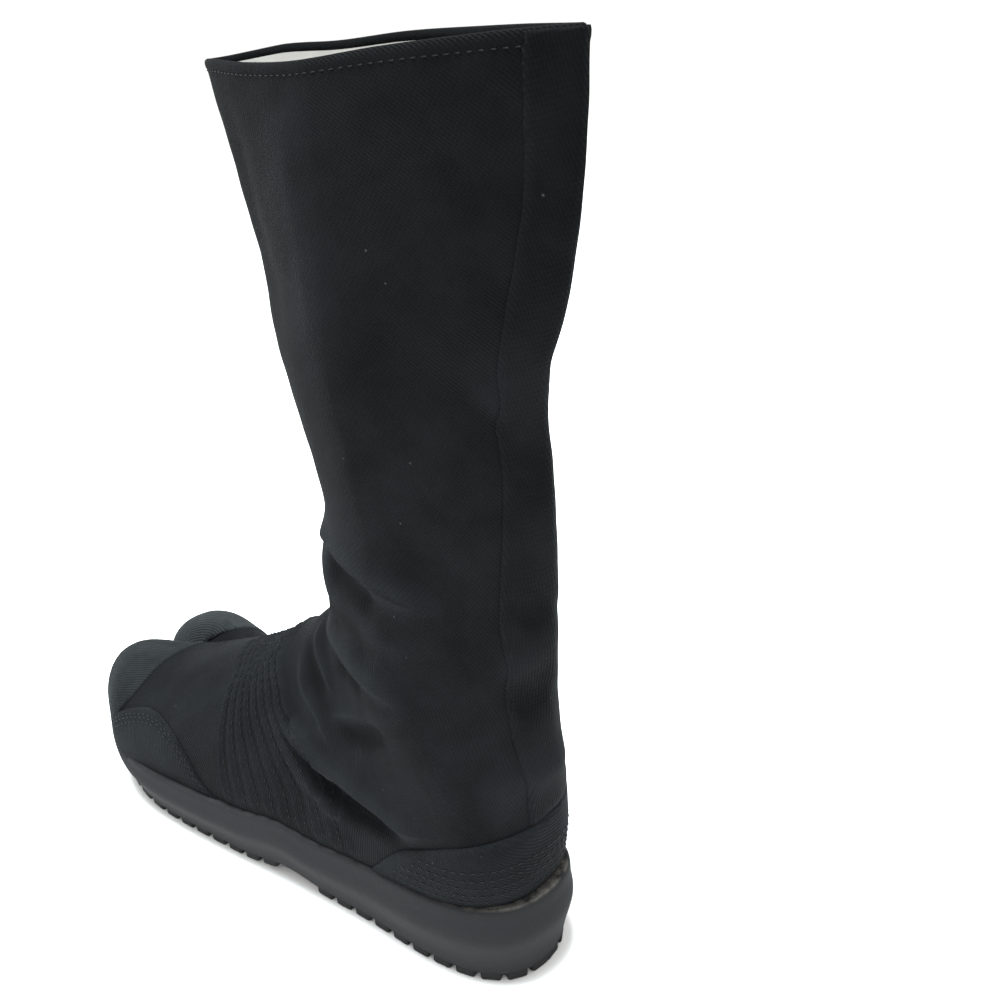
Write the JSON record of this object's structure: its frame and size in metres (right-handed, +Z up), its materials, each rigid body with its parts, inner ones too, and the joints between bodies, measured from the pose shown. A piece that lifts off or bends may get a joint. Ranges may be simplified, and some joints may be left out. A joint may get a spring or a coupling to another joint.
{
  "type": "jika tabi boot",
  "caption": "Tall split-toe work boot: a hollow black twill upper and shaft on a thick foam rubber sole with a toothed tread.",
  "frame": {"origin": "on the floor, at the heel's resting spot under the middle of the heel", "axes": "+Z up along the shaft, +Y from heel to toes, +X to the inner side, where the big toe is"},
  "size_m": [0.0926, 0.2856, 0.358],
  "materials": {
    "foam_rubber": "matte warm grey foam rubber",
    "cotton_bed": "off-white woven cotton",
    "black_twill": "faded black cotton twill",
    "black_canvas": "black canvas"
  },
  "bodies": {
    "root": {"sole": "foam_rubber", "insole": "cotton_bed", "upper": "black_twill", "heel_band": "black_canvas", "toe_guard": "black_canvas", "toe_cap_four": "black_twill", "toe_cap_big": "black_twill", "back_flap": "black_twill"}
  },
  "joints": []
}
